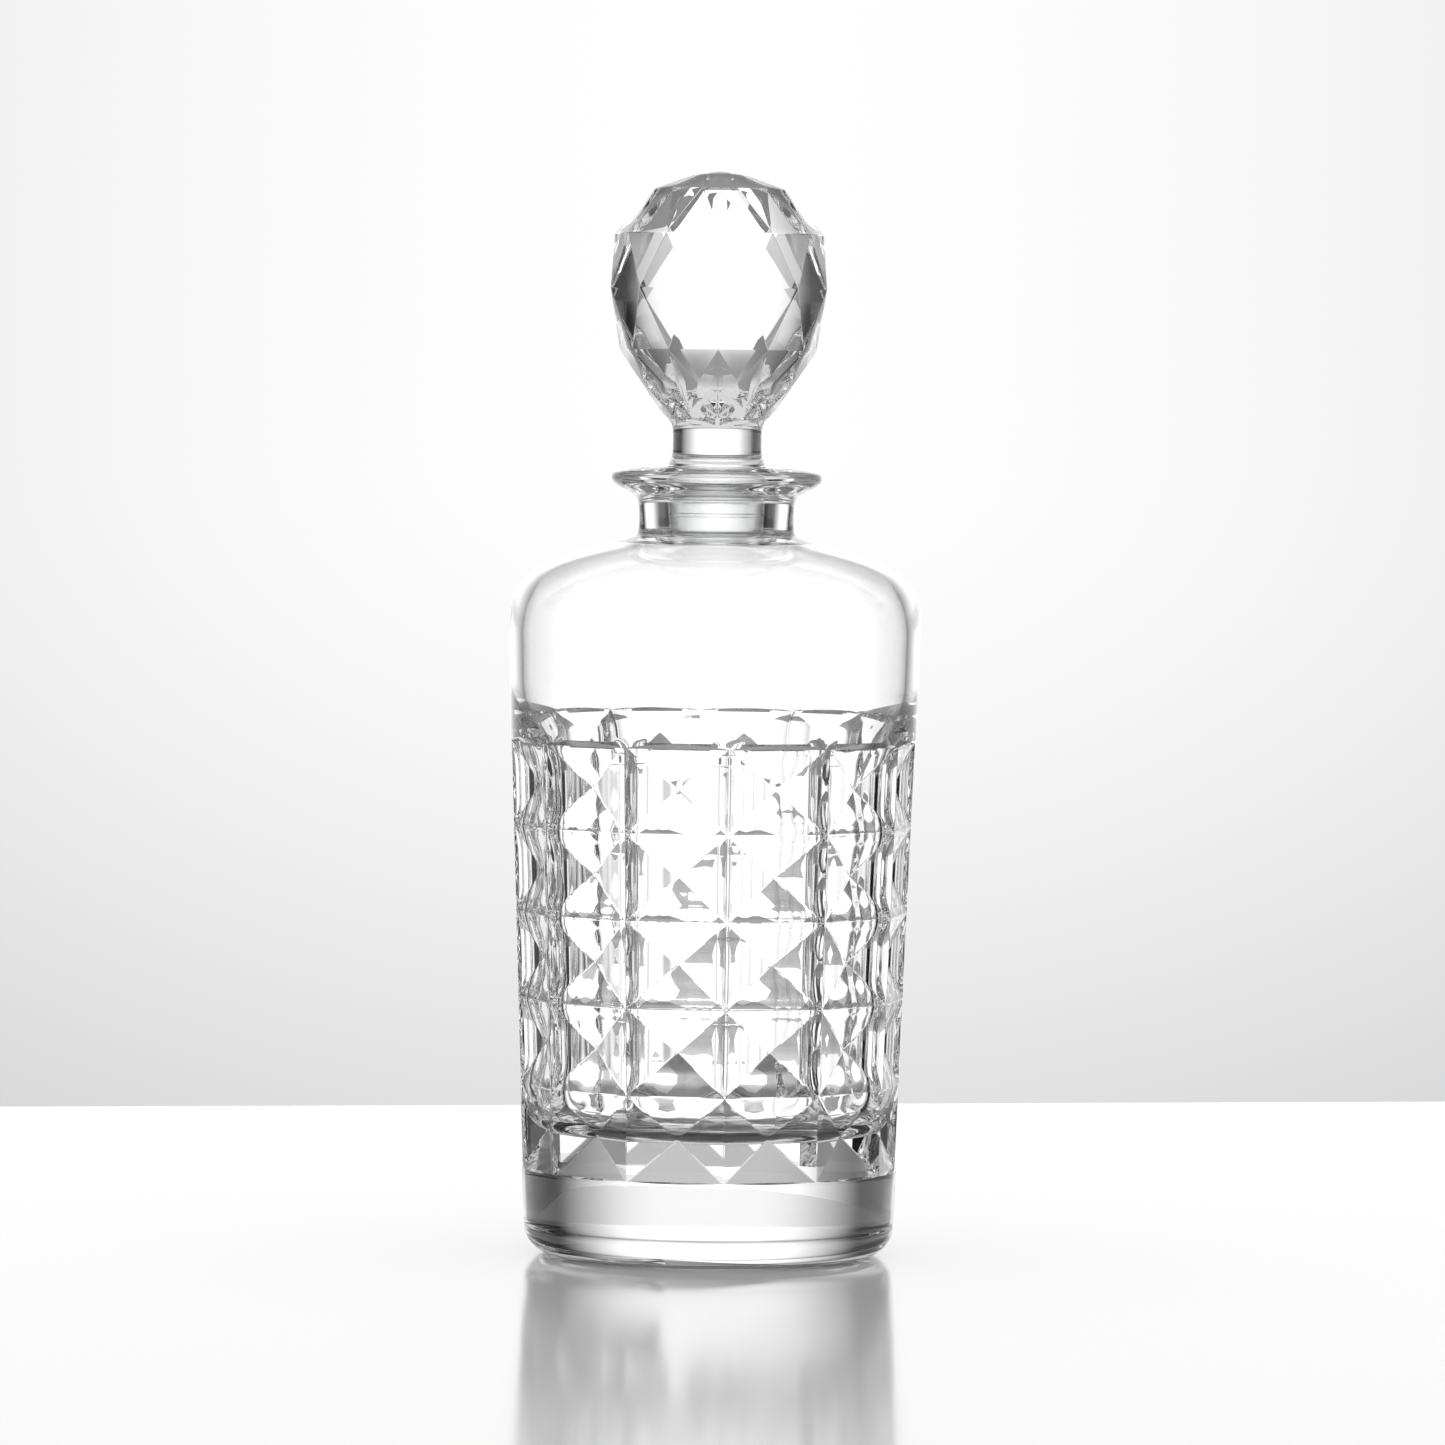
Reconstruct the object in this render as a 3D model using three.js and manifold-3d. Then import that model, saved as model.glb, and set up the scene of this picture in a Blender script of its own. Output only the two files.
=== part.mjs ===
// Cut crystal decanter in three loose pieces: a round bottle whose lower body is cut all round
// with hollow pyramids, a solid faceted stopper, and the clear sleeve that seals the stopper's
// plug in the neck. Millimetres, +Z up. The origin is the middle of the base, on the surface
// that the bottle stands on.

import * as THREE from 'three';
import { ConvexGeometry } from 'three/addons/geometries/ConvexGeometry.js';
import { mergeVertices } from 'three/addons/utils/BufferGeometryUtils.js';
import Module from 'manifold-3d';

const wasm = await Module();
wasm.setup();

// ---- driving dimensions ----

const BODY_SEGMENTS = 60;                 // facets round the bottle's turned surface
const FITTING_SEGMENTS = 48;              // facets round the smaller stopper and sleeve
const CURVE_STEPS = 3;                    // straight steps along each curve of an outline

// Bottle, outside.
const PUNT = { radius: 33, depth: 1.2 };  // shallow hollow under the base
const FOOT_RADIUS = 38;                   // outer edge of the flat ring it stands on
const HEEL_RADIUS = 7.3;                  // rounding from the foot ring up to the side
const SIDE = [                            // the side widens slowly upwards: radius, height
  [46.0, 21.3],
  [49.8, 125.6],
  [50.3, 155.0],
];
const SHOULDER_END = [22.5, 172.9];       // where the shoulder meets the neck's root
const NECK_RADIUS = 19.2;
const NECK_FOOT = 178.5;                  // height where the neck becomes straight
const NECK_TOP = 184.1;                   // height where the lip starts to flare
const LIP = { radius: 25.85, height: 190.4, crestRadius: 20.5, crest: 192.95 };

// Bottle, inside.
const MOUTH = { radius: 13.2, height: 192.3 };
const BORE_TOP = { radius: 12.4, height: 191.2 };
const BORE_BOTTOM = { radius: 11.3, height: 172.6 };
const FLOOR = 30;                         // thickness of the heavy base
const FLOOR_CORNER = 9;                   // rounding between the floor and the inner wall
const INNER_WALL = [                      // radius, height, from the floor to the shoulder
  [37.5, 39.0],
  [41.0, 121.0],
  [46.7, 131.0],
  [47.1, 152.0],
];
const INNER_SHOULDER_END = [20.0, 168.3];

// The cut band: a grid of hollow four-sided pyramids, with ridges along the grid's lines.
const COLUMNS = 12;
const ROWS = 5;
const BAND_BOTTOM = SIDE[0];
const BAND_TOP = SIDE[1];
const CLEAR_OF_GLASS = 30;                // how far the band's ends reach past the glass
const RIDGE_INSET = 0.15;                 // ridges lie this far inside the turned surface
const RIDGE_LAND = 0.15;                  // half the width of the flat left along a ridge
const PYRAMID_DEPTH = 3.0;                // from the flat of a cell down to its middle
const BAND_TURN = 4.4;                    // degrees from -Y, towards +X, of the first upright ridge

// Stopper.
const KNOB_SIDES = 12;
const KNOB_TIP = 265.7;
const KNOB_RINGS = [                      // radius, height of each ring of facet corners
  [13.35, 205.9],
  [18.9, 213.5],
  [24.1, 221.6],
  [27.3, 236.5],
  [25.6, 249.9],
  [16.2, 261.0],
  [5.9, 264.5],
];
const SHANK = { radius: 11.03, bottom: 197.5, top: 200.5 };
const SHANK_FOOT = { radius: 12.0, height: 193.5 };
const SHANK_HEAD = { radius: 12.7, height: 205.6 };
const PLUG_BOTTOM = 172.6;
const PLUG_CHAMFER = 0.6;

// Sleeve round the plug. Each figure is measured inwards from the bore's wall.
const RUNNING_GAP = 0.3;                  // ribs to the bore
const SLEEVE_OUTSIDE = 0.55;
const SLEEVE_INSIDE = 1.25;
const PLUG_OUTSIDE = 1.55;
const SLEEVE_BOTTOM = 172.3;
const SLEEVE_TOP = 193.2;
const SLEEVE_RIM = { radius: 12.2, height: 192.6 };
const RIB_HEIGHTS = [188.0, 181.3, 175.0];
const RIB_HALF_WIDTH = 0.5;

// ---- helpers ----

const HALF_TURN = Math.PI;
const FULL_TURN = 360;
const radians = THREE.MathUtils.degToRad;

// Radius of the ground bore, which narrows downwards.
function boreRadius(z) {
  const run = (z - BORE_BOTTOM.height) / (BORE_TOP.height - BORE_BOTTOM.height);
  return BORE_BOTTOM.radius + run * (BORE_TOP.radius - BORE_BOTTOM.radius);
}

// Radius of the straight line between two [radius, height] points.
function radiusOnLine(from, to, z) {
  return from[0] + (z - from[1]) / (to[1] - from[1]) * (to[0] - from[0]);
}

// A closed mesh with one vertex per corner and no collapsed triangles.
function weld(geometry) {
  geometry.deleteAttribute('normal');
  geometry.deleteAttribute('uv');
  const welded = mergeVertices(geometry, 1e-4);
  const index = Array.from(welded.index.array);
  const kept = [];
  for (let i = 0; i < index.length; i += 3) {
    const [a, b, c] = index.slice(i, i + 3);
    if (a !== b && b !== c && c !== a) kept.push(a, b, c);
  }
  welded.setIndex(kept);
  return welded;
}

function toSolid(geometry) {
  const welded = weld(geometry);
  return new wasm.Manifold(new wasm.Mesh({
    numProp: 3,
    vertProperties: Float32Array.from(welded.attributes.position.array),
    triVerts: Uint32Array.from(welded.index.array),
  }));
}

function toGeometry(solid) {
  const mesh = solid.getMesh();
  const geometry = new THREE.BufferGeometry();
  geometry.setAttribute('position', new THREE.BufferAttribute(mesh.vertProperties, 3));
  geometry.setIndex(new THREE.BufferAttribute(mesh.triVerts, 1));
  geometry.computeVertexNormals();
  return geometry;
}

// A turned body about +Z. The outline runs upwards on the outside, x being the radius.
function turned(outline, segments) {
  const geometry = new THREE.LatheGeometry(outline, segments);
  geometry.rotateX(HALF_TURN / 2);
  return geometry;
}

// A point at a radius, an angle from -Y towards +X in degrees, and a height.
function around(radius, degrees, z) {
  const angle = radians(degrees);
  return new THREE.Vector3(radius * Math.sin(angle), -radius * Math.cos(angle), z);
}

// ---- bottle ----

function bottleOutline() {
  const path = new THREE.Path();
  path.moveTo(0, PUNT.depth);
  path.quadraticCurveTo(PUNT.radius * 0.6, PUNT.depth, PUNT.radius, 0);
  path.lineTo(FOOT_RADIUS, 0);
  path.absarc(FOOT_RADIUS, HEEL_RADIUS, HEEL_RADIUS, -HALF_TURN / 2, 0, false);
  for (const [radius, height] of SIDE) path.lineTo(radius, height);

  const [sideRadius, sideTop] = SIDE[2];
  path.bezierCurveTo(sideRadius, sideTop + 10.5, 40.5, 168.7, ...SHOULDER_END);
  path.quadraticCurveTo(NECK_RADIUS + 0.3, SHOULDER_END[1] + 0.6, NECK_RADIUS, NECK_FOOT);
  path.lineTo(NECK_RADIUS, NECK_TOP);
  path.bezierCurveTo(NECK_RADIUS, NECK_TOP + 2.9, LIP.radius, LIP.height - 3, LIP.radius, LIP.height);
  path.bezierCurveTo(LIP.radius, LIP.height + 1.6, 24.4, 192.0, LIP.crestRadius, LIP.crest);
  path.quadraticCurveTo(16.5, MOUTH.height, MOUTH.radius, MOUTH.height);
  path.lineTo(BORE_TOP.radius, BORE_TOP.height);
  path.lineTo(BORE_BOTTOM.radius, BORE_BOTTOM.height);

  const [floorWall, lowerWall, upperWall, wallTop] = INNER_WALL;
  path.quadraticCurveTo(BORE_BOTTOM.radius, 169.4, ...INNER_SHOULDER_END);
  path.bezierCurveTo(38.5, 164.6, wallTop[0], wallTop[1] + 9.3, ...wallTop);
  path.lineTo(...upperWall);
  path.bezierCurveTo(upperWall[0], 126.5, lowerWall[0], 125.5, ...lowerWall);
  path.lineTo(...floorWall);
  path.absarc(floorWall[0] - FLOOR_CORNER, floorWall[1], FLOOR_CORNER, 0, -HALF_TURN / 2, true);
  path.lineTo(0, FLOOR);
  return path.getPoints(CURVE_STEPS);
}

// Radius of the cut band's ridges where they cross, at a height.
function ridgeRadius(z) {
  return radiusOnLine(BAND_BOTTOM, BAND_TOP, z) - RIDGE_INSET;
}

// A twelve-sided body between [radius, height] points, closed flat at both ends.
function twelveSided(outline) {
  const closed = [[0, outline[0][1]], ...outline, [0, outline.at(-1)[1]]];
  return toSolid(turned(closed.map(([radius, z]) => new THREE.Vector2(radius, z)), COLUMNS));
}

// The flats that the cells are cut into.
function bandBlock() {
  const ends = [BAND_BOTTOM[1], BAND_TOP[1]];
  return twelveSided(ends.map((z) => [ridgeRadius(z), z]));
}

// Past the cut band the twelve sides open out at 45 degrees, so that each column of cells ends
// in a short bevel, and then they run clear of the turned surface, past the base and the lip.
function bandEnds() {
  const [bottom, top] = [BAND_BOTTOM[1], BAND_TOP[1]];
  const [low, high] = [bottom - CLEAR_OF_GLASS, top + CLEAR_OF_GLASS];
  return twelveSided([
    [ridgeRadius(bottom) + CLEAR_OF_GLASS, low],
    [ridgeRadius(bottom), bottom],
  ]).add(twelveSided([
    [ridgeRadius(top), top],
    [ridgeRadius(top) + CLEAR_OF_GLASS, high],
    [ridgeRadius(top) + CLEAR_OF_GLASS, KNOB_TIP],
  ]));
}

// The pyramid that one cell is cut with: its four sides pass just inside the cell's ridges and
// meet at the cell's middle, and it goes on growing outwards past the glass.
function cellCutter(column, row) {
  const step = FULL_TURN / COLUMNS;
  const rowHeight = (BAND_TOP[1] - BAND_BOTTOM[1]) / ROWS;
  const low = BAND_BOTTOM[1] + row * rowHeight + RIDGE_LAND;
  const high = low + rowHeight - 2 * RIDGE_LAND;
  const middle = (low + high) / 2;
  const flatRadius = ridgeRadius(middle) * Math.cos(radians(step / 2));
  const centre = around(flatRadius - PYRAMID_DEPTH, (column + 0.5) * step, middle);

  const corners = [centre];
  for (const z of [low, high]) {
    const inset = THREE.MathUtils.radToDeg(RIDGE_LAND / ridgeRadius(z));
    for (const degrees of [column * step + inset, (column + 1) * step - inset]) {
      const corner = around(ridgeRadius(z) - RIDGE_LAND * Math.tan(radians(step / 2)), degrees, z);
      corners.push(corner.sub(centre).multiplyScalar(1.6).add(centre));
    }
  }
  return toSolid(new ConvexGeometry(corners));
}

function bottleGeometry() {
  let core = bandBlock();
  for (let row = 0; row < ROWS; row += 1) {
    for (let column = 0; column < COLUMNS; column += 1) {
      core = core.subtract(cellCutter(column, row));
    }
  }
  return toGeometry(toSolid(turned(bottleOutline(), BODY_SEGMENTS)).intersect(core.add(bandEnds())));
}

// ---- stopper ----

// A ball of triangular facets: each ring of corners stands half a step round from the next.
function knobSolid() {
  const step = FULL_TURN / KNOB_SIDES;
  const corners = [new THREE.Vector3(0, 0, KNOB_TIP)];
  KNOB_RINGS.forEach(([radius, z], ring) => {
    for (let i = 0; i < KNOB_SIDES; i += 1) {
      corners.push(around(radius, (i + (ring % 2) / 2) * step, z));
    }
  });
  return toSolid(new ConvexGeometry(corners));
}

function plugRadius(z) {
  return boreRadius(z) - PLUG_OUTSIDE;
}

function shankOutline() {
  const plugTop = SHANK_FOOT.height - 1;
  const path = new THREE.Path();
  path.moveTo(0, PLUG_BOTTOM);
  path.lineTo(plugRadius(PLUG_BOTTOM) - PLUG_CHAMFER, PLUG_BOTTOM);
  path.lineTo(plugRadius(PLUG_BOTTOM + PLUG_CHAMFER), PLUG_BOTTOM + PLUG_CHAMFER);
  path.lineTo(plugRadius(plugTop), plugTop);
  path.lineTo(plugRadius(plugTop), SHANK_FOOT.height);
  path.lineTo(SHANK_FOOT.radius, SHANK_FOOT.height);
  path.quadraticCurveTo(SHANK.radius, SHANK.bottom - 2, SHANK.radius, SHANK.bottom);
  path.lineTo(SHANK.radius, SHANK.top);
  path.quadraticCurveTo(SHANK.radius, SHANK.top + 2.2, SHANK_HEAD.radius, SHANK_HEAD.height);
  path.lineTo(SHANK_HEAD.radius, SHANK_HEAD.height + 2);
  path.lineTo(0, SHANK_HEAD.height + 2);
  return path.getPoints(CURVE_STEPS);
}

function stopperGeometry() {
  return toGeometry(knobSolid().add(toSolid(turned(shankOutline(), FITTING_SEGMENTS))));
}

// ---- sealing sleeve ----

function sleeveOutline() {
  const outside = (z, inwards) => new THREE.Vector2(boreRadius(z) - inwards, z);
  const points = [outside(SLEEVE_BOTTOM, SLEEVE_INSIDE), outside(SLEEVE_BOTTOM, SLEEVE_OUTSIDE)];
  for (const rib of RIB_HEIGHTS.toReversed()) {
    points.push(outside(rib - RIB_HALF_WIDTH, SLEEVE_OUTSIDE));
    points.push(outside(rib, RUNNING_GAP));
    points.push(outside(rib + RIB_HALF_WIDTH, SLEEVE_OUTSIDE));
  }
  points.push(outside(SLEEVE_RIM.height - 0.6, SLEEVE_OUTSIDE));
  points.push(new THREE.Vector2(SLEEVE_RIM.radius, SLEEVE_RIM.height));
  points.push(new THREE.Vector2(SLEEVE_RIM.radius, SLEEVE_TOP));
  points.push(outside(SLEEVE_TOP, SLEEVE_INSIDE));
  points.push(points[0].clone());
  return points;
}

// ---- assembly ----

const crystal = new THREE.MeshStandardMaterial({
  color: 0xf4f7f8,
  roughness: 0.03,
  metalness: 0,
  transparent: true,
  opacity: 0.35,
});
const clearPlastic = new THREE.MeshStandardMaterial({
  color: 0xf0f2f2,
  roughness: 0.3,
  metalness: 0,
  transparent: true,
  opacity: 0.55,
});

function piece(name, geometry, material) {
  const mesh = new THREE.Mesh(geometry, material);
  mesh.name = name;
  return mesh;
}

const bottle = piece('bottle', bottleGeometry(), crystal);
const sleeveGeometry = weld(turned(sleeveOutline(), FITTING_SEGMENTS));
const sleeve = piece('stopper_seal', sleeveGeometry, clearPlastic);
const stopper = piece('stopper', stopperGeometry(), crystal.clone());

bottle.rotation.z = radians(BAND_TURN);

const decanter = new THREE.Group();
decanter.name = 'cut_crystal_decanter';
decanter.add(bottle, stopper, sleeve);

export default decanter;
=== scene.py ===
# Cut crystal decanter: the fine glass bottle, its faceted stopper and the clear sleeve that
# seals the plug, on a glossy white table in a bright-field studio. Outlines are in
# millimetres as (radius, height); Blender's own values are in metres.

import math

import bmesh
import bpy
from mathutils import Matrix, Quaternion, Vector


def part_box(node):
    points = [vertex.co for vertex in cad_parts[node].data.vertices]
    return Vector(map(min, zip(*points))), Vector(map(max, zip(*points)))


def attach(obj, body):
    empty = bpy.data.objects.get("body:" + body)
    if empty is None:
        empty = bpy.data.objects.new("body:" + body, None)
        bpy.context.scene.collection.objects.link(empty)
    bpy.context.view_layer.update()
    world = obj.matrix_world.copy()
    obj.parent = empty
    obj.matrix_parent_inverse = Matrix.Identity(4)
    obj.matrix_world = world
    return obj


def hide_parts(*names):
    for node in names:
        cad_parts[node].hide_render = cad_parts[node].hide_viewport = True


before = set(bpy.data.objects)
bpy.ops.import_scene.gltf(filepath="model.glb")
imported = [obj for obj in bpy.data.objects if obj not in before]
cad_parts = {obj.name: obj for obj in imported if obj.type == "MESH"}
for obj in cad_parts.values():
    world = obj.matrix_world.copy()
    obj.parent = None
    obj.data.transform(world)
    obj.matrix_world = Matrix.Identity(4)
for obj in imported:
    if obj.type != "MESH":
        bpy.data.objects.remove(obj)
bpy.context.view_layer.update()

MM = 0.001
TURN = 2 * math.pi

# ---- sizes, from the frame and from the CAD model's driving dimensions ----

_, bottle_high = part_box("bottle")
stopper_low, stopper_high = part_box("stopper")
seal_low, seal_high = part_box("stopper_seal")

TURN_STEPS = 216                        # facets round the bottle
FITTING_STEPS = 96                      # facets round the stopper's shank and the sleeve
WELD = 1e-6                             # vertices nearer than this, in metres, become one
TEST_SLACK = 0.01                       # keeps a test of height clear of the height itself

# The bottle's outside, from the shallow hollow under the base up to the lip. Each curve is
# listed as the points that pull it and the point it ends on.
PUNT_RADIUS, PUNT_DEPTH = 33.0, 1.2
PUNT = [(PUNT_RADIUS * 0.6, PUNT_DEPTH), (PUNT_RADIUS, 0)]
FOOT_RADIUS, HEEL_RADIUS = 38.0, 7.3    # the ring it stands on, and the rounding outside it
HEEL_TOP = (FOOT_RADIUS + HEEL_RADIUS, HEEL_RADIUS)
BAND_BOTTOM = (46.0, 21.3)
BAND_TOP = (49.8, 125.6)
SEAM_REACH = 4                          # the round wall starts this far from the cut band
SIDE_TOP = (bottle_high.x / MM, 155.0)
SHOULDER_RISE = 12.5                    # how far the side's own direction pulls the shoulder
SHOULDER_END = (20.6, 175.9)
SHOULDER = [(SIDE_TOP[0], SIDE_TOP[1] + SHOULDER_RISE), (42.5, 170.0), SHOULDER_END]
NECK_RADIUS, NECK_FOOT, NECK_TOP = 19.2, 177.6, 184.1
NECK_ROOT = [(NECK_RADIUS, SHOULDER_END[1] + 0.3), (NECK_RADIUS, NECK_FOOT)]
LIP_RADIUS, LIP_HEIGHT = 25.85, 190.4
LIP = (LIP_RADIUS, LIP_HEIGHT)
LIP_CREST = (20.5, bottle_high.z / MM)
LIP_UNDERSIDE = [(NECK_RADIUS, NECK_TOP + 2.9), (LIP_RADIUS, LIP_HEIGHT - 3), LIP]
LIP_UPPERSIDE = [(LIP_RADIUS, LIP_HEIGHT + 1.6), (24.4, 192.0), LIP_CREST]

# Its inside, from the mouth down to the thick floor.
MOUTH = (13.2, 192.3)
MOUTH_SLOPE = [(16.5, MOUTH[1]), MOUTH]
BORE_TOP, BORE_BOTTOM = (12.4, 191.2), (11.3, 172.6)
BORE_EDGE = [(BORE_TOP[0] + 0.1, MOUTH[1]), BORE_TOP]
INNER_SHOULDER_END = (22.0, 172.6)
BORE_FOOT = [(BORE_BOTTOM[0] + 0.2, 171.9), (15.5, 172.5), INNER_SHOULDER_END]
FLOOR_WALL, LOWER_WALL = (40.5, 39.0), (43.8, 121.0)
UPPER_WALL, WALL_TOP = (46.8, 140.0), (47.1, 152.0)
INNER_SHOULDER = [(42.5, 167.1), (WALL_TOP[0], WALL_TOP[1] + SHOULDER_RISE), WALL_TOP]
WALL_STEP = [(UPPER_WALL[0] - 0.2, 131.0), (LOWER_WALL[0] + 0.2, 127.0), LOWER_WALL]
FLOOR, FLOOR_CORNER = 30.0, 9.0

# The cut band, and what its cells leave on the inner wall.
COLUMNS, ROWS = 12, 5
BAND_TURN = math.radians(4.4)           # where the first upright ridge stands, from the front
RIDGE_INSET = 0.15
PYRAMID_DEPTH = 3.0
RIDGE_ROUNDING = 0.22                   # how far each cut edge is rounded back
RIM_TRIM = 0.5                          # cut off each end of the band, beyond its corners
RIM_CUTS = 13                           # cuts in each straight rim, so that it can follow a round
LEDGE_LEAN, BEVEL_LEAN = -0.15, 0.7     # rise per millimetre outwards of the band's two rims
FLAT_REACH = 3                          # how far beyond the band's ends its ground faces may lie
FLAT_LEAN = math.radians(6)             # how far a ground face turns from straight out, at least
ECHO_DEPTH = 2.4                        # how far the inner wall swells in behind each cell
ECHO_REACH = 0.6                        # share of each half cell that the swelling takes to rise
ECHO_FADE = 5                           # height over which it starts, above the floor's corner
ECHO_MARGIN = 1                         # how far from the inner wall a point may be, to swell

# The stopper: rings of corners of the knob from the bottom up, then the shank and the plug.
KNOB_SIDES = 12
KNOB_TIP = stopper_high.z / MM
KNOB_RINGS = [
    (13.35, 205.9), (18.9, 213.5), (24.1, 221.6), (27.3, 236.5), (25.6, 249.9), (16.2, 261.0),
    (5.9, 264.5),
]
FACET_ROUNDING = 0.12
FACET_AREA = 8                          # in square millimetres; smaller faces are left flat
FACET_HOLLOW = 0.055                    # depth of each ground facet, as a share of its size
KNOB_RIM_CUTS = 7
SHANK_RADIUS, SHANK_BOTTOM, SHANK_TOP = 11.03, 197.0, 202.0
SHANK_HEAD = (12.6, 205.2)
SHANK_FOOT = (12.0, 193.5)
HEAD_CURVE = [(SHANK_RADIUS, SHANK_TOP + 1.6), SHANK_HEAD]
FOOT_CURVE = [(SHANK_RADIUS, SHANK_BOTTOM - 2), (SHANK_RADIUS, SHANK_BOTTOM)]
PLUG_TOP = SHANK_FOOT[1] - 1
PLUG_BOTTOM, PLUG_CHAMFER = stopper_low.z / MM, 0.6

# The sleeve. Its first four figures are measured inwards from the wall of the bore.
RUNNING_GAP, SLEEVE_OUTSIDE, SLEEVE_INSIDE, PLUG_OUTSIDE = 0.3, 0.55, 1.25, 1.55
SLEEVE_BOTTOM, SLEEVE_TOP = seal_low.z / MM, seal_high.z / MM
SLEEVE_RIM = (12.2, 192.6)
RIM_CURVE = [(SLEEVE_RIM[0], SLEEVE_RIM[1] - 0.5), SLEEVE_RIM]
RIM_FLARE, RIM_EDGE = 0.6, 0.25
RIB_HEIGHTS = [175.0, 181.3, 188.0]
RIB_HALF_WIDTH = 0.5

# ---- outlines ----


def on_line(start, end, height):
    """Radius at a height on the straight line between two outline points."""
    share = (height - start[1]) / (end[1] - start[1])
    return start[0] + share * (end[0] - start[0])


def bore_radius(height):
    return on_line(BORE_BOTTOM, BORE_TOP, height)


def line(start, end, steps):
    """Points on a straight line, without the first."""
    return [tuple(a + (b - a) * i / steps for a, b in zip(start, end)) for i in range(1, steps + 1)]


def arc(centre, radius, start, end, steps):
    """Points on a circle's arc, from one angle to another in degrees, without the first."""
    points = []
    for i in range(1, steps + 1):
        angle = math.radians(start + (end - start) * i / steps)
        points.append((centre[0] + radius * math.cos(angle), centre[1] + radius * math.sin(angle)))
    return points


def curve(controls, steps):
    """Points on a Bezier curve through its first and last control points, without the first."""
    points = []
    for i in range(1, steps + 1):
        share, level = i / steps, controls
        while len(level) > 1:
            level = [
                tuple(a + (b - a) * share for a, b in zip(p, q))
                for p, q in zip(level, level[1:])]
        points.append(level[0])
    return points


# ---- mesh helpers, as by hand in edit mode ----


def select_only(piece):
    bpy.ops.object.select_all(action="DESELECT")
    piece.select_set(True)
    bpy.context.view_layer.objects.active = piece


def pick(piece, edges=None, faces=None):
    """Selects in edit mode the edges or the faces that a test accepts, and nothing else."""
    mesh = bmesh.from_edit_mesh(piece.data)
    for element in (*mesh.verts, *mesh.edges, *mesh.faces):
        element.select = False
    bpy.ops.mesh.select_mode(type="EDGE" if edges else "FACE")
    accepted = edges or faces
    for element in mesh.edges if edges else mesh.faces:
        if accepted(element):
            element.select_set(True)
    bmesh.update_edit_mesh(piece.data)


def move_picked(piece, place):
    """Moves each selected vertex to where place() puts it."""
    mesh = bmesh.from_edit_mesh(piece.data)
    for vert in mesh.verts:
        if vert.select:
            vert.co = place(vert.co)
    bmesh.update_edit_mesh(piece.data)


def at_origin(piece, name):
    """Puts a piece's place, turn and scale into its mesh, and names both."""
    bpy.ops.object.transform_apply(location=True, rotation=True, scale=True)
    piece.name = name
    piece.data.name = name
    return piece


def turned(name, outline, steps):
    """One vertex drawn along an outline and spun about the upright axis."""
    (radius, height), rest = outline[0], outline[1:]
    bpy.ops.object.select_all(action="DESELECT")
    bpy.ops.mesh.primitive_plane_add(size=MM, location=(0, 0, 0))
    piece = bpy.context.active_object
    bpy.ops.object.mode_set(mode="EDIT")
    bpy.ops.mesh.select_mode(type="VERT")
    bpy.ops.mesh.merge(type="CENTER")
    bpy.ops.transform.translate(value=(radius * MM, 0, height * MM))
    for next_radius, next_height in rest:
        step = ((next_radius - radius) * MM, 0, (next_height - height) * MM)
        bpy.ops.mesh.extrude_region_move(TRANSFORM_OT_translate={"value": step})
        radius, height = next_radius, next_height
    bpy.ops.mesh.select_all(action="SELECT")
    bpy.ops.mesh.spin(steps=steps, angle=TURN, center=(0, 0, 0), axis=(0, 0, 1))
    bpy.ops.mesh.select_all(action="SELECT")
    bpy.ops.mesh.remove_doubles(threshold=WELD)
    bpy.ops.object.mode_set(mode="OBJECT")
    return at_origin(piece, name)


def joined(name, *pieces):
    """Makes several meshes one piece."""
    bpy.ops.object.select_all(action="DESELECT")
    for piece in pieces:
        piece.select_set(True)
    bpy.context.view_layer.objects.active = pieces[0]
    bpy.ops.object.join()
    return at_origin(pieces[0], name)


def is_rim(edge):
    """Whether an edge borders an opening in the mesh."""
    return len(edge.link_faces) == 1


def edge_middle(edge):
    return (edge.verts[0].co + edge.verts[1].co) / 2


def bridge_rims(piece, low, high):
    """Joins the two open rims that lie between two heights."""
    def between(edge):
        return is_rim(edge) and low * MM < edge_middle(edge).z < high * MM
    pick(piece, edges=between)
    bpy.ops.mesh.bridge_edge_loops()


def finish_shell(piece, crease):
    """Merges and turns all faces outwards, then smooths all but the creases."""
    select_only(piece)
    bpy.ops.object.mode_set(mode="EDIT")
    bpy.ops.mesh.select_all(action="SELECT")
    bpy.ops.mesh.remove_doubles(threshold=WELD)
    bpy.ops.mesh.normals_make_consistent(inside=False)
    bpy.ops.object.mode_set(mode="OBJECT")
    bpy.ops.object.shade_smooth_by_angle(angle=math.radians(crease))


# ---- bottle ----


def ridge_radius(height):
    """How far out the corners of the cut band lie."""
    return on_line(BAND_BOTTOM, BAND_TOP, height) - RIDGE_INSET


def off_middle(position):
    """Angle of a point from the middle of its column of cells."""
    column = TURN / COLUMNS
    angle = math.atan2(position.x, -position.y) - BAND_TURN
    return (angle % column) - column / 2


def wall_below_band(height):
    return on_line(HEEL_TOP, BAND_BOTTOM, height)


def wall_above_band(height):
    return on_line(BAND_TOP, SIDE_TOP, height)


def bevel_end(position, end, wall, lean):
    """Where a point of the band's straight rim meets the round wall, on a bevel that rises
    by lean for each millimetre it goes out."""
    angle = off_middle(position)
    flat = ridge_radius(end) * math.cos(TURN / COLUMNS / 2)
    slope = (wall(end + lean) - wall(end)) * math.cos(angle)
    rise = (wall(end) * math.cos(angle) - flat) / (1 - slope)
    height = end + lean * rise
    around = position.xy.normalized() * wall(height) * MM
    return Vector((around.x, around.y, height * MM))


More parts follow.
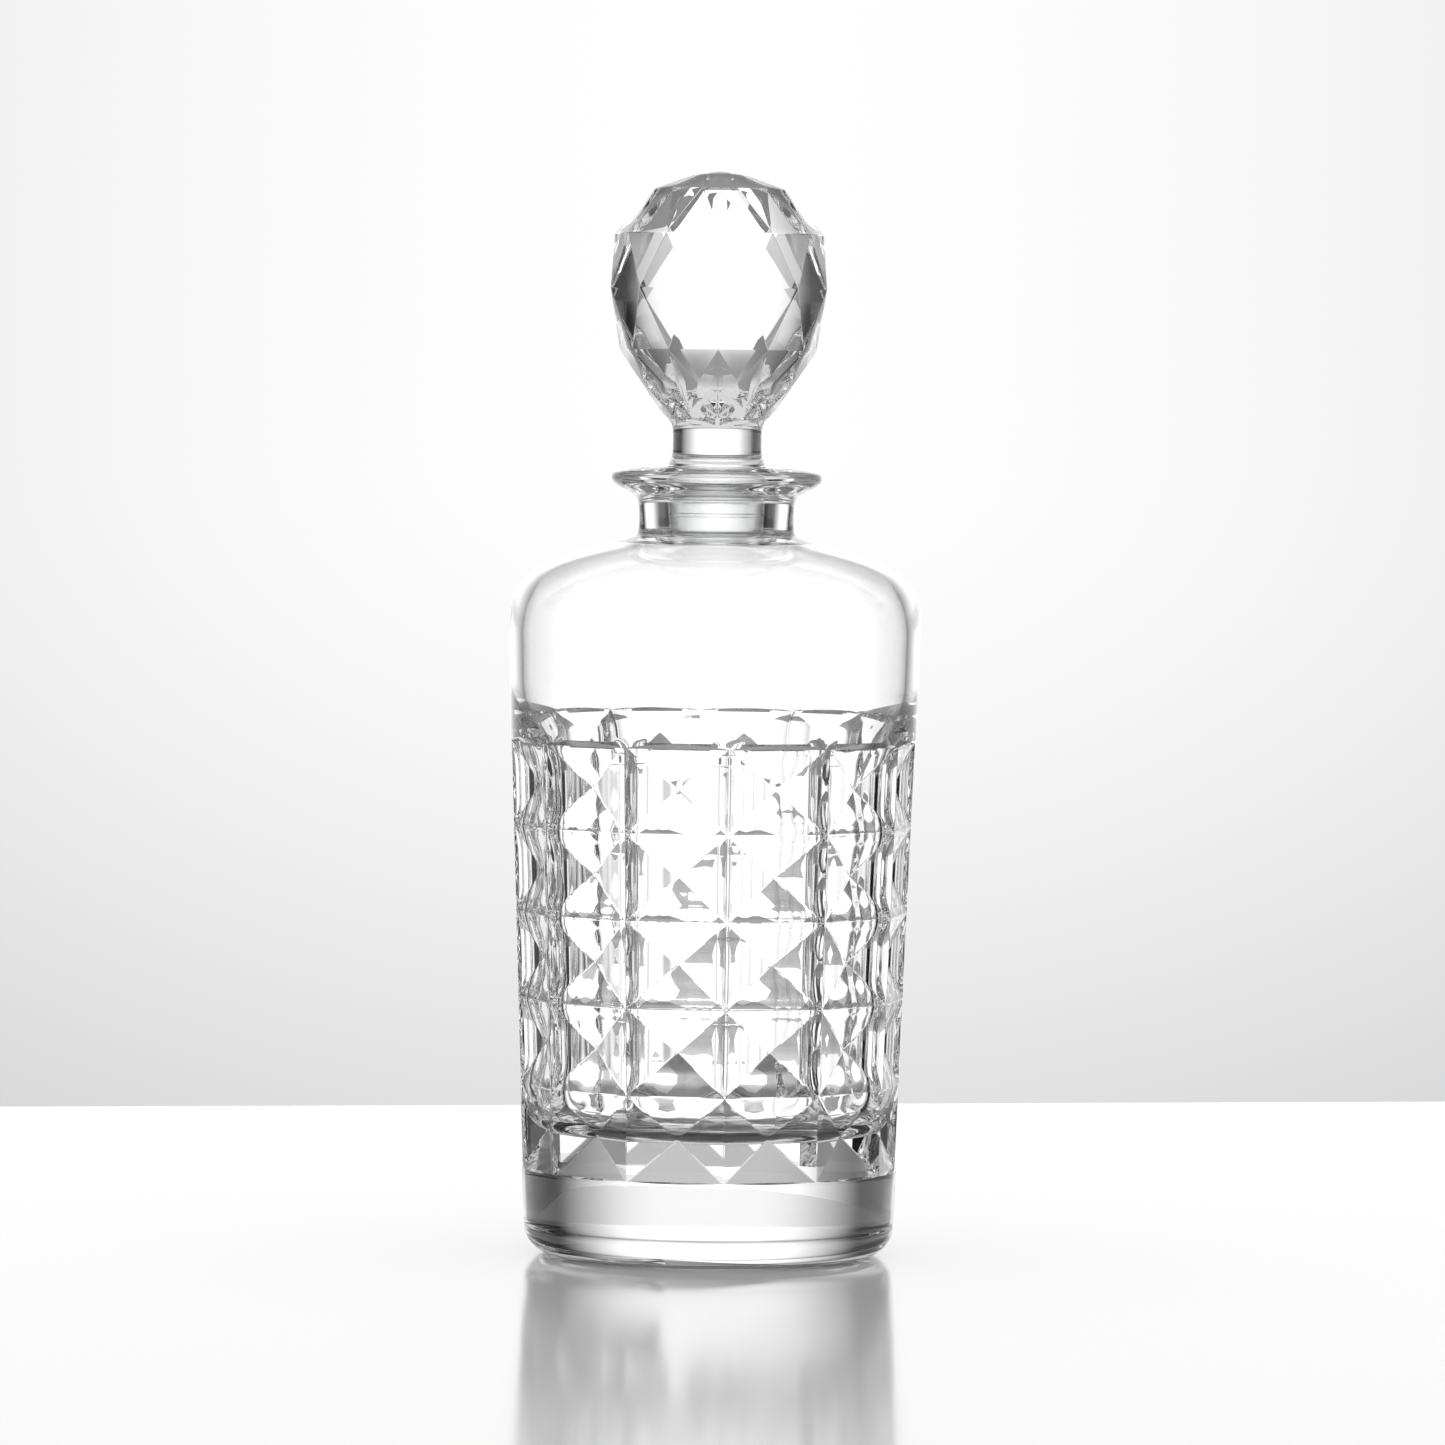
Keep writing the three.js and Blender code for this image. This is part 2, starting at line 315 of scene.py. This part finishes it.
def cut_band():
    """Twelve flats in five rows, each pushed in to a hollow pyramid, with rounded edges."""
    low, high = BAND_BOTTOM[1] - RIM_TRIM, BAND_TOP[1] + RIM_TRIM
    bpy.ops.object.select_all(action="DESELECT")
    bpy.ops.mesh.primitive_cone_add(
        vertices=COLUMNS, radius1=ridge_radius(low) * MM, radius2=ridge_radius(high) * MM,
        depth=(high - low) * MM, end_fill_type="NOTHING",
        location=(0, 0, (low + high) / 2 * MM), rotation=(0, 0, BAND_TURN))
    band = at_origin(bpy.context.active_object, "cut_band")
    straight_rim = 4 * MM                   # longer than any edge that the rounding leaves
    bpy.ops.object.mode_set(mode="EDIT")
    for row in range(1, ROWS):
        bpy.ops.mesh.select_all(action="SELECT")
        height = (low + (high - low) * row / ROWS) * MM
        bpy.ops.mesh.bisect(plane_co=(0, 0, height), plane_no=(0, 0, 1))
    bpy.ops.mesh.select_all(action="SELECT")
    bpy.ops.mesh.normals_make_consistent(inside=False)
    bpy.ops.mesh.poke(offset=-PYRAMID_DEPTH * MM)
    pick(band, edges=lambda edge: not is_rim(edge))
    bpy.ops.mesh.bevel(offset=RIDGE_ROUNDING * MM, segments=2, clamp_overlap=False)

    middle = (low + high) / 2
    lower_end = (BAND_BOTTOM[1], wall_below_band, LEDGE_LEAN)
    upper_end = (BAND_TOP[1], wall_above_band, BEVEL_LEAN)
    for end, wall, lean in (lower_end, upper_end):
        def on_end(edge):
            return is_rim(edge) and (edge_middle(edge).z > middle * MM) == (end > middle)
        bpy.ops.mesh.select_all(action="SELECT")
        bpy.ops.mesh.bisect(
            plane_co=(0, 0, end * MM), plane_no=(0, 0, 1),
            clear_inner=end < middle, clear_outer=end > middle)
        pick(band, edges=lambda edge: on_end(edge) and edge.calc_length() > straight_rim)
        bpy.ops.mesh.subdivide(number_cuts=RIM_CUTS)
        pick(band, edges=on_end)
        bpy.ops.mesh.extrude_region_move()
        move_picked(band, lambda position: bevel_end(position, end, wall, lean))
    bpy.ops.object.mode_set(mode="OBJECT")
    return band


def lower_outline():
    """From the middle of the hollow under the base, round the heel, up to the cut band."""
    middle = (0, PUNT_DEPTH)
    outline = [middle]
    outline += curve([middle, *PUNT], steps=12)
    outline += [(FOOT_RADIUS, 0)]
    outline += arc((FOOT_RADIUS, HEEL_RADIUS), HEEL_RADIUS, start=-90, end=0, steps=18)
    top = BAND_BOTTOM[1] - SEAM_REACH
    return outline + line(HEEL_TOP, (wall_below_band(top), top), steps=3)


def upper_outline():
    """From the cut band over the shoulder and the lip, then down the inside to the floor."""
    bottom = BAND_TOP[1] + SEAM_REACH
    outline = [(wall_above_band(bottom), bottom)]
    outline += line(outline[-1], SIDE_TOP, steps=8)
    outline += curve([SIDE_TOP, *SHOULDER], steps=30)
    outline += curve([SHOULDER_END, *NECK_ROOT], steps=14)
    outline += line(outline[-1], (NECK_RADIUS, NECK_TOP), steps=2)
    outline += curve([outline[-1], *LIP_UNDERSIDE], steps=20)
    outline += curve([LIP, *LIP_UPPERSIDE], steps=16)

    outline += curve([LIP_CREST, *MOUTH_SLOPE], steps=8)
    outline += curve([MOUTH, *BORE_EDGE], steps=6)
    outline += line(BORE_TOP, BORE_BOTTOM, steps=6)
    outline += curve([BORE_BOTTOM, *BORE_FOOT], steps=14)
    outline += curve([INNER_SHOULDER_END, *INNER_SHOULDER], steps=28)
    outline += line(WALL_TOP, UPPER_WALL, steps=8)
    outline += curve([UPPER_WALL, *WALL_STEP], steps=14)
    outline += line(LOWER_WALL, FLOOR_WALL, steps=44)
    corner = (FLOOR_WALL[0] - FLOOR_CORNER, FLOOR_WALL[1])
    outline += arc(corner, FLOOR_CORNER, start=0, end=-90, steps=18)
    return outline + line(outline[-1], (0, FLOOR), steps=8)


def eased_in(share):
    """From 0 on a ridge to 1 at the middle of a cell, rising smoothly over the first part."""
    share = max(0, min(1, share / ECHO_REACH))
    return share * share * (3 - 2 * share)


def echo_cells(piece):
    """The inner wall, shaped by air alone, swells softly in behind each row and column."""
    low, high = BAND_BOTTOM[1], BAND_TOP[1]
    start = FLOOR_WALL[1] - ECHO_MARGIN
    for vert in piece.data.vertices:
        height = vert.co.z / MM
        radius = vert.co.xy.length / MM
        outside = radius > on_line(FLOOR_WALL, LOWER_WALL, height) + ECHO_MARGIN
        if outside or not start < height < high + ECHO_MARGIN:
            continue
        across = 1 - abs(off_middle(vert.co)) / (TURN / COLUMNS / 2)
        row = ROWS * (height - low) / (high - low) % 1
        up = 1 - abs(2 * row - 1)
        fade = min(1, (height - start) / ECHO_FADE)
        swell = ECHO_DEPTH * fade * (eased_in(across) + eased_in(up)) / 2
        vert.co.x *= 1 - swell / radius
        vert.co.y *= 1 - swell / radius


def flatten_cut_faces(bottle):
    """Shades the ground faces of the band flat. Faces that look straight out, and those of
    the inner wall, stay smooth."""
    low, high = (BAND_BOTTOM[1] - FLAT_REACH) * MM, (BAND_TOP[1] + FLAT_REACH) * MM
    for face in bottle.data.polygons:
        outward = Vector((face.center.x, face.center.y, 0)).normalized()
        if low < face.center.z < high and 0 < face.normal.dot(outward) < math.cos(FLAT_LEAN):
            face.use_smooth = False


def make_bottle():
    lower = turned("bottle_lower", lower_outline(), TURN_STEPS)
    upper = turned("bottle_upper", upper_outline(), TURN_STEPS)
    echo_cells(upper)
    bottle = joined("crystal_bottle", cut_band(), lower, upper)
    bpy.ops.object.mode_set(mode="EDIT")
    seam = SEAM_REACH + 1                   # far enough to take in both rims
    bridge_rims(bottle, BAND_BOTTOM[1] - seam, BAND_BOTTOM[1] - TEST_SLACK)
    bridge_rims(bottle, BAND_TOP[1] + TEST_SLACK, BAND_TOP[1] + seam)
    bpy.ops.object.mode_set(mode="OBJECT")
    finish_shell(bottle, crease=25)
    flatten_cut_faces(bottle)
    return bottle


# ---- stopper ----


def make_knob():
    """Rings of corners, each half a step round from the next, wrapped in triangular facets."""
    bpy.ops.object.select_all(action="DESELECT")
    step = TURN / KNOB_SIDES
    for ring, (radius, height) in enumerate(KNOB_RINGS):
        bpy.ops.mesh.primitive_circle_add(
            vertices=KNOB_SIDES, radius=radius * MM, fill_type="NGON",
            location=(0, 0, height * MM), rotation=(0, 0, ring % 2 * step / 2))
        if ring == 0:
            knob = at_origin(bpy.context.active_object, "knob")
            bpy.ops.object.mode_set(mode="EDIT")
    top_radius, top_height = KNOB_RINGS[-1]
    bpy.ops.mesh.primitive_cone_add(
        vertices=KNOB_SIDES, radius1=top_radius * MM, depth=(KNOB_TIP - top_height) * MM,
        location=(0, 0, (KNOB_TIP + top_height) / 2 * MM))
    bpy.ops.mesh.select_all(action="SELECT")
    bpy.ops.mesh.remove_doubles(threshold=WELD)
    bpy.ops.mesh.select_all(action="SELECT")
    bpy.ops.mesh.convex_hull(join_triangles=False)
    bpy.ops.mesh.normals_make_consistent(inside=False)
    low = (KNOB_RINGS[0][1] + TEST_SLACK) * MM
    pick(knob, faces=lambda face: all(vert.co.z < low for vert in face.verts))
    bpy.ops.mesh.delete(type="FACE")
    pick(knob, edges=lambda edge: not is_rim(edge))
    bpy.ops.mesh.bevel(offset=FACET_ROUNDING * MM, segments=1, clamp_overlap=False)
    pick(knob, faces=lambda face: face.calc_area() > FACET_AREA * MM * MM)
    bpy.ops.mesh.poke(offset=-FACET_HOLLOW, use_relative_offset=True)
    straight_rim = 2 * MM                   # longer than any edge that the rounding leaves
    pick(knob, edges=lambda edge: is_rim(edge) and edge.calc_length() > straight_rim)
    bpy.ops.mesh.subdivide(number_cuts=KNOB_RIM_CUTS)
    bpy.ops.object.mode_set(mode="OBJECT")
    return knob


def plug_radius(height):
    return bore_radius(height) - PLUG_OUTSIDE


def shank_outline():
    """From the middle of the plug's end, up the tapered plug and the shank, to the knob."""
    chamfer_top = PLUG_BOTTOM + PLUG_CHAMFER
    outline = [(0, PLUG_BOTTOM), (plug_radius(PLUG_BOTTOM) - PLUG_CHAMFER, PLUG_BOTTOM)]
    outline += [(plug_radius(chamfer_top), chamfer_top)]
    outline += line(outline[-1], (plug_radius(PLUG_TOP), PLUG_TOP), steps=6)
    outline += [(plug_radius(PLUG_TOP), SHANK_FOOT[1]), SHANK_FOOT]
    outline += curve([SHANK_FOOT, *FOOT_CURVE], steps=8)
    outline += line(outline[-1], (SHANK_RADIUS, SHANK_TOP), steps=3)
    return outline + curve([outline[-1], *HEAD_CURVE], steps=8)


def make_stopper():
    shank = turned("shank", shank_outline(), FITTING_STEPS)
    stopper = joined("crystal_stopper", make_knob(), shank)
    bpy.ops.object.mode_set(mode="EDIT")
    bridge_rims(stopper, SHANK_HEAD[1] - 1, KNOB_RINGS[0][1] + 1)
    bpy.ops.object.mode_set(mode="OBJECT")
    finish_shell(stopper, crease=15)
    return stopper


# ---- sealing sleeve ----


def sleeve_outline():
    """Up the outside over three ribs, round the rim, and back down the inside."""
    def inwards(height, depth):
        return (bore_radius(height) - depth, height)

    outline = [inwards(SLEEVE_BOTTOM, SLEEVE_INSIDE), inwards(SLEEVE_BOTTOM, SLEEVE_OUTSIDE)]
    for rib in RIB_HEIGHTS:
        foot, head = rib - RIB_HALF_WIDTH, rib + RIB_HALF_WIDTH
        outline.append(inwards(foot, SLEEVE_OUTSIDE))
        crest = [outline[-1], inwards(foot, RUNNING_GAP), inwards(rib, RUNNING_GAP)]
        outline += curve(crest, steps=4)
        fall = [crest[-1], inwards(head, RUNNING_GAP), inwards(head, SLEEVE_OUTSIDE)]
        outline += curve(fall, steps=4)
    outline.append(inwards(SLEEVE_RIM[1] - RIM_FLARE, SLEEVE_OUTSIDE))
    outline += curve([outline[-1], *RIM_CURVE], steps=4)
    outline.append((SLEEVE_RIM[0], SLEEVE_TOP - RIM_EDGE))
    rim_edge = [(SLEEVE_RIM[0], SLEEVE_TOP), (SLEEVE_RIM[0] - RIM_EDGE, SLEEVE_TOP)]
    outline += curve([outline[-1], *rim_edge], steps=3)
    outline.append(inwards(SLEEVE_TOP, SLEEVE_INSIDE))
    return outline + [outline[0]]


def make_sleeve():
    sleeve = turned("clear_sleeve", sleeve_outline(), FITTING_STEPS)
    finish_shell(sleeve, crease=35)
    return sleeve


# ---- materials ----


def linear(hex_colour):
    """An sRGB hex colour as linear red, green, blue and full alpha."""
    channels = [int(hex_colour[i:i + 2], 16) / 255 for i in (1, 3, 5)]
    return [c / 12.92 if c <= 0.04045 else ((c + 0.055) / 1.055) ** 2.4 for c in channels] + [1.0]


def add_node(tree, kind, settings=None, **inputs):
    """Adds a node. An input is named, or numbered as _0; it is a value, an output to link it
    to, or a node whose first output it is linked to."""
    node = tree.nodes.new(kind)
    for name, value in (settings or {}).items():
        setattr(node, name, value)
    for name, value in inputs.items():
        socket = node.inputs[int(name[1:]) if name[1:].isdigit() else name.replace("_", " ")]
        if isinstance(value, bpy.types.Node):
            value = value.outputs[0]
        if isinstance(value, bpy.types.NodeSocket):
            tree.links.new(value, socket)
        else:
            socket.default_value = value
    return node


def new_material(name):
    material = bpy.data.materials.new(name)
    material.use_nodes = True
    material.node_tree.nodes.clear()
    return material, material.node_tree


def crystal(name, wave_size, wave_height):
    """Lead-free crystal, shaped hot, then cut and polished: clear as water, with a faint,
    smooth unevenness that bends what shows through it."""
    material, tree = new_material(name)
    place = add_node(tree, "ShaderNodeTexCoord").outputs["Object"]
    waves = add_node(
        tree, "ShaderNodeTexNoise", Vector=place, Scale=1 / wave_size, Detail=1.0)
    bump = add_node(
        tree, "ShaderNodeBump", Height=waves, Strength=1.0, Distance=wave_height)
    glass = add_node(
        tree, "ShaderNodeBsdfPrincipled", Normal=bump, Base_Color=linear("#FFFFFF"),
        Roughness=0.0, IOR=1.53, Transmission_Weight=1.0)
    add_node(tree, "ShaderNodeOutputMaterial", Surface=glass)
    return material


def clear_polyethylene():
    """Soft clear polyethylene, injection moulded: slightly milky, with a satin surface. Its
    grain is drawn coarser than it is, so that it shows."""
    material, tree = new_material("moulded clear polyethylene")
    grain_size = 0.8 * MM
    place = add_node(tree, "ShaderNodeTexCoord").outputs["Object"]
    grain = add_node(
        tree, "ShaderNodeTexNoise", Vector=place, Scale=1 / grain_size, Detail=2.0)
    rough = add_node(tree, "ShaderNodeMapRange", Value=grain, To_Min=0.08, To_Max=0.2)
    plastic = add_node(
        tree, "ShaderNodeBsdfPrincipled", Base_Color=linear("#FBFCFC"), Roughness=rough,
        IOR=1.5, Transmission_Weight=1.0)
    add_node(tree, "ShaderNodeOutputMaterial", Surface=plastic)
    return material


def lacquered_board():
    """White lacquered board, with a hard gloss coat that blurs what it mirrors. Its colour
    holds painted shade: white for rays from the camera, grey for all others, so that within the
    glass it stays dim."""
    material, tree = new_material("white lacquered board")
    path = add_node(tree, "ShaderNodeLightPath").outputs
    # painted shade: the base colour is white for camera rays and grey for every other ray
    white_with_painted_shade = add_node(
        tree, "ShaderNodeMix", {"data_type": "RGBA"}, Factor=path["Is Camera Ray"],
        _6=linear("#828282"), _7=linear("#E6E6E6"))
    board = add_node(
        tree, "ShaderNodeBsdfPrincipled", Base_Color=white_with_painted_shade.outputs[2], Roughness=0.12, IOR=1.5)
    add_node(tree, "ShaderNodeOutputMaterial", Surface=board)
    return material


# ---- studio ----


def make_table():
    size, thickness, turn = 0.86, 0.03, math.radians(10)
    bpy.ops.object.select_all(action="DESELECT")
    bpy.ops.mesh.primitive_cube_add(
        size=1, location=(0, 0, -thickness / 2), rotation=(0, 0, turn))
    table = bpy.context.active_object
    table.scale = (size, size, thickness)
    at_origin(table, "table_top")
    edge = table.modifiers.new("rounded edge", "BEVEL")
    edge.width, edge.segments = 0.002, 3
    bpy.ops.object.modifier_apply(modifier=edge.name)
    table.data.materials.append(lacquered_board())


def make_world():
    """A bright field on each side of the object, dark gaps between them that draw the edges
    of the glass, a dim belt above them and a wide soft box overhead."""
    world = bpy.data.worlds.new("bright field studio")
    bpy.context.scene.world = world
    world.use_nodes = True
    tree = world.node_tree
    tree.nodes.clear()
    math_node, ramp_node, mix_node = "ShaderNodeMath", "ShaderNodeMapRange", "ShaderNodeMix"
    smooth = {"interpolation_type": "SMOOTHSTEP"}
    as_float = {"data_type": "FLOAT"}

    # the direction, as degrees round from ahead and degrees up from the horizon
    direction = add_node(tree, "ShaderNodeTexCoord").outputs["Generated"]
    parts = add_node(tree, "ShaderNodeSeparateXYZ", Vector=direction).outputs
    around = add_node(tree, math_node, {"operation": "ARCTAN2"}, _0=parts["X"], _1=parts["Y"])
    around = add_node(tree, math_node, {"operation": "DEGREES"}, _0=around)
    up = add_node(tree, math_node, {"operation": "ARCSINE"}, _0=parts["Z"])
    up = add_node(tree, math_node, {"operation": "DEGREES"}, _0=up)

    # wide fields ahead and behind, narrow ones at the sides, unlike gaps between them
    handed = add_node(tree, math_node, {"operation": "WRAP"}, _0=around, _1=90.0, _2=-90.0)
    from_front = add_node(tree, math_node, {"operation": "ABSOLUTE"}, _0=handed)
    front = add_node(
        tree, ramp_node, smooth, Value=from_front, From_Min=10, From_Max=46, To_Min=1, To_Max=0)
    side = add_node(
        tree, ramp_node, smooth, Value=from_front, From_Min=74, From_Max=86, To_Min=0, To_Max=1)
    fields = add_node(tree, math_node, {"operation": "MAXIMUM"}, _0=front, _1=side)
    gaps = add_node(
        tree, ramp_node, smooth, Value=handed, From_Min=-10, From_Max=10, To_Min=0.05, To_Max=0.0)
    level = add_node(tree, mix_node, as_float, Factor=fields, A=gaps, B=1.3)

    # dimmer above the fields, bright overhead, and never dark below the horizon
    falling = add_node(
        tree, ramp_node, smooth, Value=up, From_Min=16, From_Max=24, To_Min=1, To_Max=0.25)
    level = add_node(tree, math_node, {"operation": "MULTIPLY"}, _0=level, _1=falling)
    overhead = add_node(
        tree, ramp_node, smooth, Value=up, From_Min=32, From_Max=44, To_Min=0, To_Max=1)
    level = add_node(tree, mix_node, as_float, Factor=overhead, A=level, B=0.75)
    below = add_node(
        tree, ramp_node, smooth, Value=up, From_Min=-16, From_Max=-8, To_Min=1, To_Max=0)
    lifted = add_node(tree, math_node, {"operation": "MAXIMUM"}, _0=level, _1=0.35)
    studio = add_node(tree, mix_node, as_float, Factor=below, A=level, B=lifted)

    # the backdrop that is seen directly: white, and greyer down and away from each main side
    aside = add_node(tree, math_node, {"operation": "WRAP"}, _0=around, _1=22.5, _2=-22.5)
    aside = add_node(tree, math_node, {"operation": "MULTIPLY"}, _0=aside, _1=0.6)
    down = add_node(tree, math_node, {"operation": "MINIMUM"}, _0=up, _1=0.0)
    spread = add_node(tree, "ShaderNodeCombineXYZ", X=aside, Y=down)
    away = add_node(tree, "ShaderNodeVectorMath", {"operation": "LENGTH"}, _0=spread)
    backdrop = add_node(
        tree, ramp_node, smooth, Value=away.outputs["Value"],
        From_Min=0, From_Max=10, To_Min=1.0, To_Max=0.5)

    path = add_node(tree, "ShaderNodeLightPath").outputs
    seen = add_node(
        tree, mix_node, as_float, Factor=path["Is Camera Ray"], A=studio, B=backdrop)
    light = add_node(tree, mix_node, as_float, Factor=path["Is Diffuse Ray"], A=seen, B=0.85)
    lamp = add_node(tree, "ShaderNodeBackground", Color=linear("#FFFFFF"), Strength=light)
    add_node(tree, "ShaderNodeOutputWorld", Surface=lamp)


def make_camera():
    distance, eye_height, lens = 1.96, 0.202, 199.3
    pitch, yaw, roll = math.radians(2.09), math.radians(0.061), math.radians(0.655)
    camera = bpy.data.objects.new("camera", bpy.data.cameras.new("camera"))
    bpy.context.scene.collection.objects.link(camera)
    camera.data.lens, camera.data.sensor_width = lens, 36.0
    camera.location = (0, -distance, eye_height)
    level = math.cos(pitch)
    ahead = Vector((math.sin(yaw) * level, math.cos(yaw) * level, -math.sin(pitch)))
    camera.rotation_mode = "QUATERNION"
    camera.rotation_quaternion = ahead.to_track_quat("-Z", "Y") @ Quaternion((0, 0, 1), roll)
    bpy.context.scene.camera = camera


make_camera()
make_world()
make_table()

bottle = make_bottle()
bottle.data.materials.append(
    crystal("blown and cut crystal", wave_size=16 * MM, wave_height=0.02 * MM))
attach(bottle, "bottle")
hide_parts("bottle")

sleeve = make_sleeve()
sleeve.data.materials.append(clear_polyethylene())
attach(sleeve, "seal")
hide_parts("stopper_seal")

stopper = make_stopper()
stopper.data.materials.append(
    crystal("cut and polished crystal", wave_size=9 * MM, wave_height=0.01 * MM))
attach(stopper, "stopper")
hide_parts("stopper")

scene = bpy.context.scene
scene.view_settings.view_transform = "Standard"
bounces = 64                            # light crosses many faces of the glass
scene.cycles.max_bounces = bounces
scene.cycles.transmission_bounces = bounces
scene.cycles.glossy_bounces = bounces
